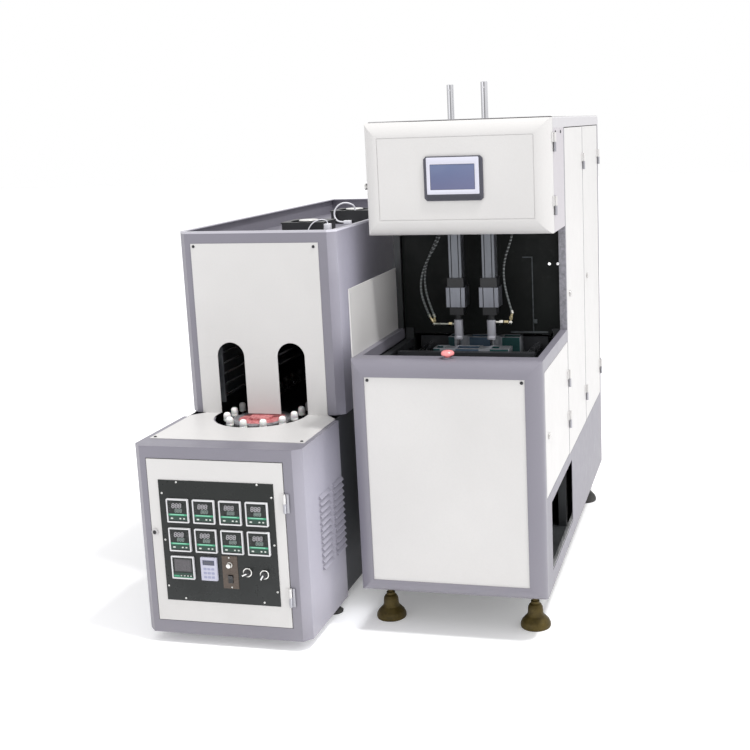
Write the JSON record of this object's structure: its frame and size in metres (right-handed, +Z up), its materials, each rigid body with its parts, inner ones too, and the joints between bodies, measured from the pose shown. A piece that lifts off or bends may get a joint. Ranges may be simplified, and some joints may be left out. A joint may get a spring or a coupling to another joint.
{
  "type": "blow moulding machine",
  "caption": "Semi-automatic stretch blow moulding machine: blow and clamp cabinet with operator box, beside its infrared preform oven with chain-carried spindles.",
  "frame": {"origin": "on the floor, under the centre of the whole machine's box", "axes": "+Z up, -Y towards the operator, +X to the operator's right"},
  "size_m": [1.369, 2.095, 1.852],
  "materials": {
    "frame_paint": "fine grey powder coat",
    "panel_white": "warm white powder coat",
    "roof_paint": "pale grey paint",
    "black_paint": "black paint",
    "screen_unit": "moulded terminal with a glass screen",
    "lock_steel": "plated",
    "hinge_steel": "bright plated",
    "machined_steel": "machined",
    "aluminium_profile": "anodised extrusion",
    "ground_steel": "hard chrome",
    "hose": "braided pressure hose",
    "brass_fitting": "turned fittings",
    "mould_aluminium": "milled",
    "red_plastic": "moulded",
    "foot_bronze": "dark bronze paint",
    "plate_black": "black enamel",
    "instrument_plastic": "moulded",
    "silver_knob": "turned",
    "dark_plastic": "moulded",
    "white_cable": "soft PVC",
    "wheel_red": "red primer",
    "chain_steel": "oiled",
    "spindle_white": "moulded caps",
    "motor_paint": "paint",
    "lamp_quartz": "quartz tube",
    "screw_black": "blackened"
  },
  "bodies": {
    "frame": {"air_hoses": "hose", "back_wall": "black_paint", "blower_frame": "frame_paint", "bridge_plate": "machined_steel", "chain": "chain_steel", "clamp_cylinders": "aluminium_profile", "control_box_shell": "panel_white", "door_hinges": "hinge_steel", "drive_gearmotor": "motor_paint", "fan_cable": "white_cable", "fan_housings": "dark_plastic", "front_bezel": "frame_paint", "front_panel": "panel_white", "guard_panel": "panel_white", "heater_cabinet": "frame_paint", "heater_rear_base": "black_paint", "hose_fittings": "brass_fitting", "lamp_tubes": "lamp_quartz", "levelling_feet": "foot_bronze", "panel_screws": "screw_black", "rear_left_cladding": "frame_paint", "roof_panel": "roof_paint", "seal_cylinders": "aluminium_profile", "side_panel_right": "frame_paint", "spindles": "spindle_white", "stretch_cylinders": "aluminium_profile", "tie_bars": "ground_steel", "top_plate": "panel_white", "tower_panel": "panel_white", "tower_shell": "frame_paint"},
    "operator_door": {"control_box_door": "panel_white", "operator_panel": "screen_unit"},
    "box_latch": {"box_latch": "lock_steel"},
    "lower_side_door": {"lower_side_door": "panel_white"},
    "lower_door_lock": {"lower_door_lock": "lock_steel"},
    "front_tall_door": {"front_tall_door": "panel_white"},
    "front_door_lock": {"front_door_lock": "lock_steel"},
    "rear_tall_door": {"rear_tall_door": "panel_white"},
    "rear_door_lock": {"rear_door_lock": "lock_steel"},
    "heater_door": {"heater_door": "panel_white", "instrument_plate": "plate_black", "temp_controllers": "instrument_plastic"},
    "heater_door_lock": {"heater_door_lock": "lock_steel"},
    "selector_left": {"selector_left": "dark_plastic"},
    "selector_right": {"selector_right": "dark_plastic"},
    "regulator_knob": {"regulator_knob": "silver_knob"},
    "rocker_switch": {"rocker_switch": "dark_plastic"},
    "stretch_rod_left": {"stretch_rod_left": "ground_steel"},
    "stretch_rod_right": {"stretch_rod_right": "ground_steel"},
    "blow_nozzle_left": {"blow_nozzle_left": "ground_steel"},
    "blow_nozzle_right": {"blow_nozzle_right": "ground_steel"},
    "front_clamp": {"platen_front": "machined_steel", "mould_half_front": "mould_aluminium"},
    "rear_clamp": {"platen_rear": "machined_steel", "mould_half_rear": "mould_aluminium"},
    "red_button": {"red_button": "red_plastic"},
    "fan_rotor_front": {"fan_rotor_front": "dark_plastic"},
    "fan_rotor_rear": {"fan_rotor_rear": "dark_plastic"},
    "chain_wheel_front": {"sprocket_front": "wheel_red"},
    "chain_wheel_rear": {"sprocket_rear": "wheel_red"}
  },
  "joints": [
    {"name": "operator_door_hinge", "type": "hinge", "parent": "frame", "child": "operator_door", "pos_m": [0.6795, -0.5145, 1.53], "axis": [0, 0, 1], "range_deg": [0, 105]},
    {"name": "box_latch_turn", "type": "hinge", "parent": "operator_door", "child": "box_latch", "pos_m": [0.0275, -0.5525, 1.507], "axis": [1, 0, 0], "range_deg": [0, 90]},
    {"name": "lower_side_door_hinge", "type": "hinge", "parent": "frame", "child": "lower_side_door", "pos_m": [0.6795, -0.261, 0.7], "axis": [0, 0, 1], "range_deg": [0, 110]},
    {"name": "lower_door_lock_turn", "type": "hinge", "parent": "lower_side_door", "child": "lower_door_lock", "pos_m": [0.6735, -0.7315, 0.686], "axis": [-1, 0, 0], "range_deg": [0, 90]},
    {"name": "front_tall_door_hinge", "type": "hinge", "parent": "frame", "child": "front_tall_door", "pos_m": [0.6795, 0.2345, 1.08], "axis": [0, 0, 1], "range_deg": [0, 110]},
    {"name": "front_door_lock_turn", "type": "hinge", "parent": "front_tall_door", "child": "front_door_lock", "pos_m": [0.6735, -0.1865, 1.078], "axis": [-1, 0, 0], "range_deg": [0, 90]},
    {"name": "rear_tall_door_hinge", "type": "hinge", "parent": "frame", "child": "rear_tall_door", "pos_m": [0.6795, 0.7395, 1.08], "axis": [0, 0, 1], "range_deg": [0, 110]},
    {"name": "rear_door_lock_turn", "type": "hinge", "parent": "rear_tall_door", "child": "rear_door_lock", "pos_m": [0.6735, 0.3195, 1.076], "axis": [-1, 0, 0], "range_deg": [0, 90]},
    {"name": "heater_door_hinge", "type": "hinge", "parent": "frame", "child": "heater_door", "pos_m": [-0.1485, -1.0315, 0.36], "axis": [0, 0, 1], "range_deg": [0, 110]},
    {"name": "heater_door_lock_turn", "type": "hinge", "parent": "heater_door", "child": "heater_door_lock", "pos_m": [-0.6215, -1.0255, 0.397], "axis": [0, 1, 0], "range_deg": [0, 90]},
    {"name": "selector_left_turn", "type": "hinge", "parent": "heater_door", "child": "selector_left", "pos_m": [-0.2955, -1.0275, 0.273], "axis": [0, -1, 0], "range_deg": [0, 60]},
    {"name": "selector_right_turn", "type": "hinge", "parent": "heater_door", "child": "selector_right", "pos_m": [-0.2355, -1.0275, 0.269], "axis": [0, -1, 0], "range_deg": [0, 60]},
    {"name": "regulator_knob_turn", "type": "hinge", "parent": "heater_door", "child": "regulator_knob", "pos_m": [-0.3575, -1.0275, 0.296], "axis": [0, -1, 0], "range_deg": [0, 270]},
    {"name": "rocker_switch_tilt", "type": "hinge", "parent": "heater_door", "child": "rocker_switch", "pos_m": [-0.3575, -1.0255, 0.246], "axis": [-1, 0, 0], "range_deg": [0, 12]},
    {"name": "stretch_left", "type": "slide", "parent": "frame", "child": "stretch_rod_left", "axis": [0, 0, 1], "range_m": [-0.24, 0]},
    {"name": "stretch_right", "type": "slide", "parent": "frame", "child": "stretch_rod_right", "axis": [0, 0, 1], "range_m": [-0.24, 0]},
    {"name": "nozzle_left_slide", "type": "slide", "parent": "frame", "child": "blow_nozzle_left", "axis": [0, 0, 1], "range_m": [-0.014, 0]},
    {"name": "nozzle_right_slide", "type": "slide", "parent": "frame", "child": "blow_nozzle_right", "axis": [0, 0, 1], "range_m": [-0.014, 0]},
    {"name": "front_clamp_slide", "type": "slide", "parent": "frame", "child": "front_clamp", "axis": [0, 1, 0], "range_m": [0, 0.08]},
    {"name": "rear_clamp_slide", "type": "slide", "parent": "frame", "child": "rear_clamp", "axis": [0, 1, 0], "range_m": [-0.08, 0]},
    {"name": "red_button_press", "type": "slide", "parent": "frame", "child": "red_button", "axis": [0, 0, 1], "range_m": [-0.005, 0], "stiffness_N_per_m": 400, "springref_m": 0.004},
    {"name": "fan_front_spin", "type": "hinge", "parent": "frame", "child": "fan_rotor_front", "pos_m": [-0.3795, -0.0725, 1.315], "axis": [0, 0, 1], "continuous": true},
    {"name": "fan_rear_spin", "type": "hinge", "parent": "frame", "child": "fan_rotor_rear", "pos_m": [-0.3795, 0.4925, 1.315], "axis": [0, 0, 1], "continuous": true},
    {"name": "chain_wheel_rear_spin", "type": "hinge", "parent": "frame", "child": "chain_wheel_rear", "pos_m": [-0.3965, 0.88014, 0.66], "axis": [0, 0, 1], "continuous": true},
    {"name": "chain_wheel_front_spin", "type": "hinge", "parent": "frame", "child": "chain_wheel_front", "pos_m": [-0.3965, -0.6075, 0.66], "axis": [0, 0, 1], "continuous": true}
  ],
  "couplings": [
    {"joint": "rear_clamp_slide", "follows": "front_clamp_slide", "ratio": -1},
    {"joint": "chain_wheel_front_spin", "follows": "chain_wheel_rear_spin", "ratio": 1}
  ]
}
